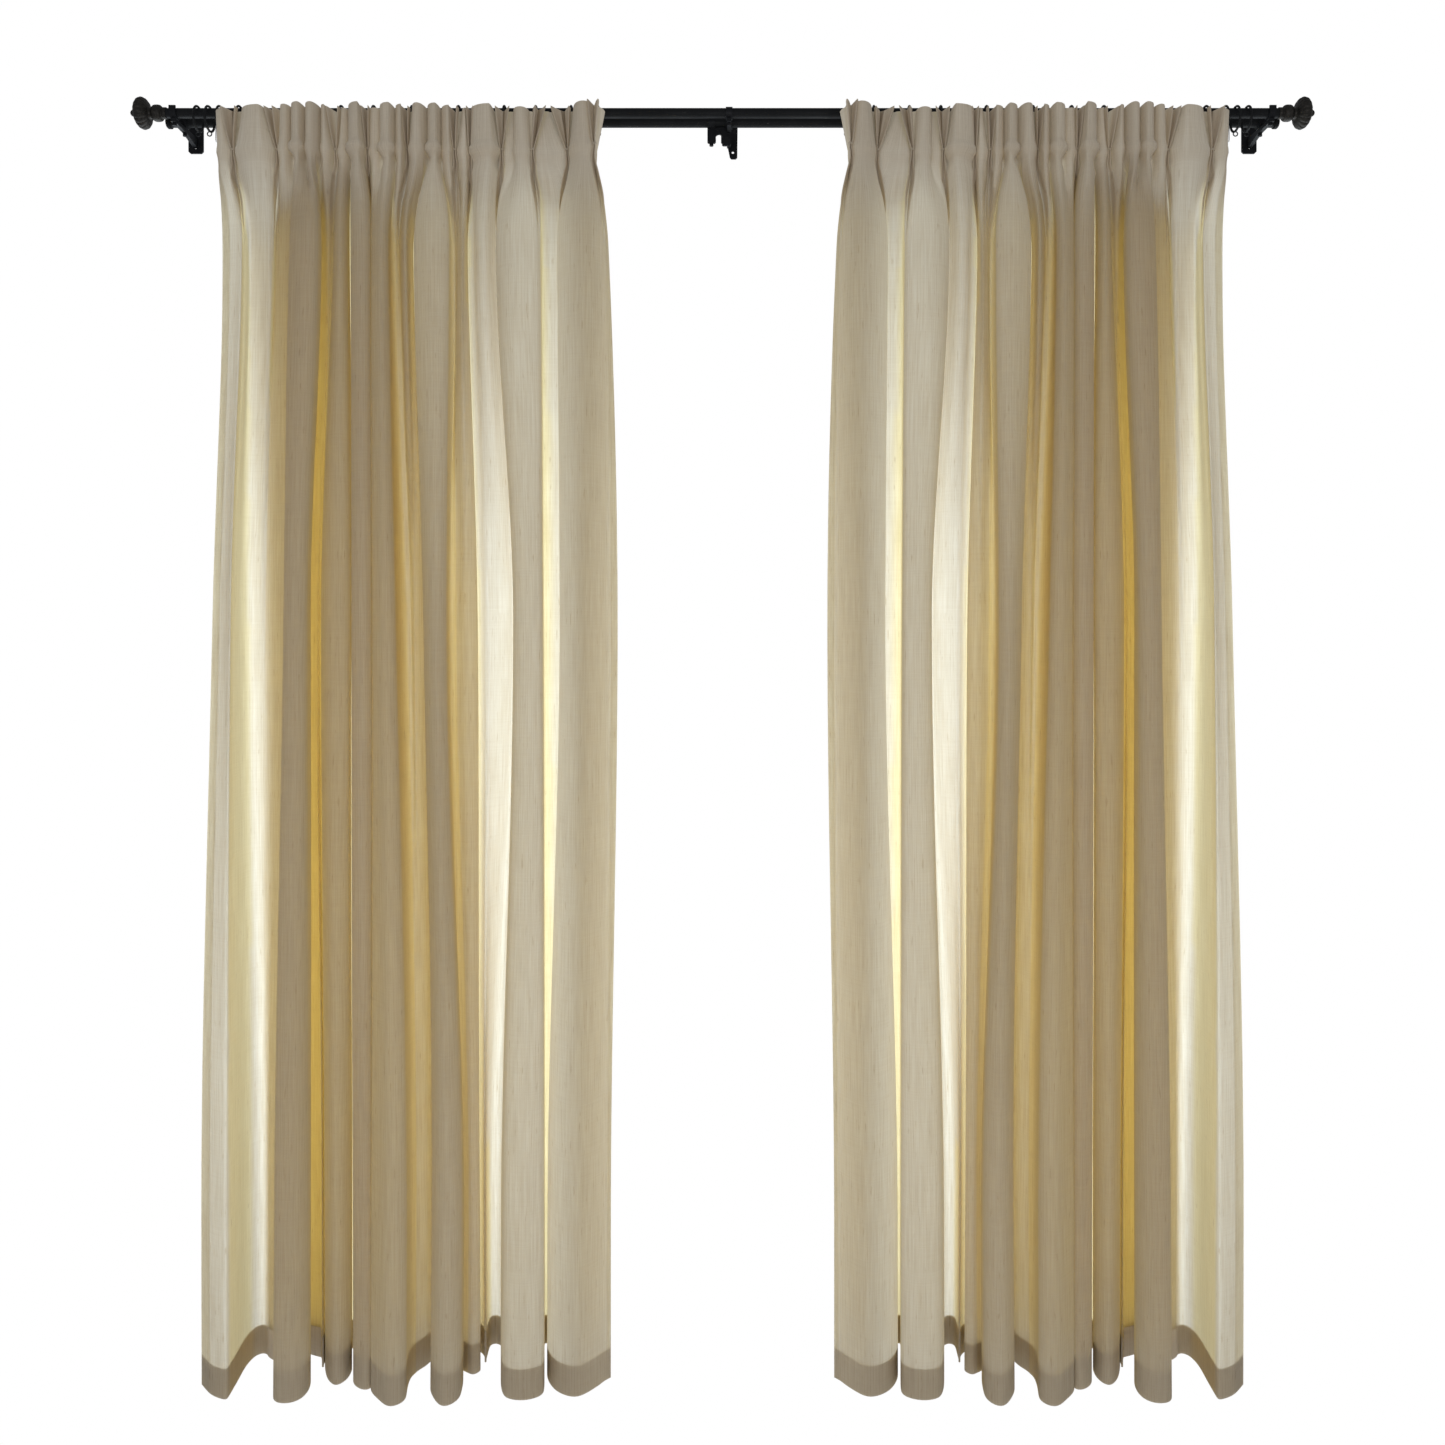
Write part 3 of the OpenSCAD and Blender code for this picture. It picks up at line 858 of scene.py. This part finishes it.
def tacks(grid, mirror):
    """The short wraps of thread that hold each pleat at its pinch, as one mesh."""
    around, tube = 20, 6
    half_x, half_y = TACK_HALF
    verts, faces = [], []
    row = int(np.argmin(np.abs(grid["z"][:, 0] - PINCH_Z)))
    for columns in pleat_columns(grid):
        x = grid["x"][row, columns].mean()
        y = grid["y"][row, columns].min() + TACK_BACK
        for turn in range(TACK_TURNS):
            z = PINCH_Z + (turn - 1) * TACK_PITCH
            base = len(verts)
            for i in range(around):
                a = 2 * math.pi * i / around
                for j in range(tube):
                    b = 2 * math.pi * j / tube
                    out = THREAD_R * math.cos(b)
                    verts.append((x + (half_x + out) * math.cos(a), y + (half_y + out) * math.sin(a),
                                  z + THREAD_R * math.sin(b) + TACK_TILT * math.sin(a)))
            for i in range(around):
                for j in range(tube):
                    i2, j2 = (i + 1) % around, (j + 1) % tube
                    faces.append((base + i * tube + j, base + i2 * tube + j,
                                  base + i2 * tube + j2, base + i * tube + j2))
    if mirror:
        verts = [(-x, y, z) for x, y, z in verts]
        faces = [f[::-1] for f in faces]
    return verts, faces


def make_panel(side):
    """One panel's cloth, its bottom hem, side hems and tacks."""
    sign = SIDES[side]
    mirror = sign > 0
    face = panel_grid(PANEL_SEED)
    z, u = face["z"][:, 0], face["u"]
    name = f"panel_{side}"
    cloth = cloth_object(f"{name}_cloth", [face], mirror)
    cloth.data.materials.append(LINEN)
    # the behind-folds mask, which the linen uses for its painted golden glow and painted extra light
    layer = cloth.data.attributes.new(BEHIND, "FLOAT", "POINT")
    layer.data.foreach_set("value", face["behind"].astype(np.float32).reshape(-1))

    # the turned-in layers lie on the wall side: two in the bottom hem, one in the side hems
    first, second = set_back(face, LAYER), set_back(face, 2 * LAYER)
    low = z <= cad_low + HEM_H + 1e-6
    below_pinch = z < PINCH_Z - 1e-6
    hem = cloth_object(f"{name}_hem", [cut(first, low), cut(second, low)], mirror)
    edges = cloth_object(f"{name}_side_hems", [
        cut(first, below_pinch, u <= SIDE_HEM),
        cut(first, below_pinch, u >= u[-1] - INNER_SIDE_HEM)], mirror)
    hem.data.materials.append(LINEN_FOLDED)
    edges.data.materials.append(LINEN_EDGE)
    stitches = mesh_object(f"{name}_tacks", *tacks(face, mirror))
    stitches.data.materials.append(THREAD)

    for piece in (cloth, hem, edges, stitches):
        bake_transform(piece)
    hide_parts(*[f"{name}_{part}" for part in ("outer", "middle", "inner")])


for side in SIDES:
    make_panel(side)


# ---- floor, light and camera ----

FLOOR_Z = cad_low - 0.60
FLOOR_X, FLOOR_FRONT, FLOOR_BACK = 1.6, -1.3, 0.5

corners = [(-FLOOR_X, FLOOR_FRONT), (FLOOR_X, FLOOR_FRONT), (FLOOR_X, FLOOR_BACK), (-FLOOR_X, FLOOR_BACK)]
floor = mesh_object("floor", [(x, y, FLOOR_Z) for x, y in corners], [(0, 1, 2, 3)], smooth=False)
floor.data.materials.append(floor_material())


def area_light(name, place, aim, size, power, colour):
    data = bpy.data.lights.new(name, "AREA")
    data.shape = "RECTANGLE"
    data.size, data.size_y = size
    data.energy = power
    data.color = colour
    obj = bpy.data.objects.new(name, data)
    obj.location = place
    obj.rotation_mode = "QUATERNION"
    obj.rotation_quaternion = (Vector(aim) - Vector(place)).to_track_quat("-Z", "Y")
    obj.visible_camera = False
    bpy.context.scene.collection.objects.link(obj)


# daylight from the window, which shines through the cloth, and a weaker light in the room
WINDOW_X, WINDOW_Y, WINDOW_Z = 1.30, 0.62, -1.37
ROOM_Y, ROOM_Z = -3.3, -1.25
for side, sign in SIDES.items():
    area_light(f"window_{side}", (sign * WINDOW_X, WINDOW_Y, WINDOW_Z), (sign * WINDOW_X, 0, WINDOW_Z),
               (2.2, 2.1), 34, (0.885, 0.955, 1.0))
area_light("front_fill", (0, ROOM_Y, ROOM_Z), (0, 0, ROOM_Z), (3.6, 1.0), 27, (0.985, 0.985, 1.0))

# the camera sees a plain white ground, and the cloth is lit by a dimmer one
world = bpy.data.worlds.new("studio")
world.use_nodes = True
bpy.context.scene.world = world
nodes, links = world.node_tree.nodes, world.node_tree.links
nodes.clear()
ray = nodes.new("ShaderNodeLightPath")
backdrop = nodes.new("ShaderNodeBackground")
backdrop.inputs["Color"].default_value = (1, 1, 1, 1)
backdrop.inputs["Strength"].default_value = 1.0
surround = nodes.new("ShaderNodeBackground")
surround.inputs["Color"].default_value = (0.97, 0.98, 1.0, 1)
surround.inputs["Strength"].default_value = 0.275
choose = nodes.new("ShaderNodeMixShader")
world_out = nodes.new("ShaderNodeOutputWorld")
links.new(ray.outputs["Is Camera Ray"], choose.inputs["Fac"])
links.new(surround.outputs["Background"], choose.inputs[1])
links.new(backdrop.outputs["Background"], choose.inputs[2])
links.new(choose.outputs["Shader"], world_out.inputs["Surface"])

bpy.context.scene.view_settings.view_transform = "Standard"

camera_data = bpy.data.cameras.new("camera")
camera_data.sensor_width = 36
camera_data.lens = 30.67
camera_data.shift_y = -0.0709
camera_data.clip_start, camera_data.clip_end = 0.05, 60
camera = bpy.data.objects.new("camera", camera_data)
camera.location = (0, -2.5, -0.988)
camera.rotation_euler = (math.radians(90), 0, 0)
bpy.context.scene.collection.objects.link(camera)
bpy.context.scene.camera = camera
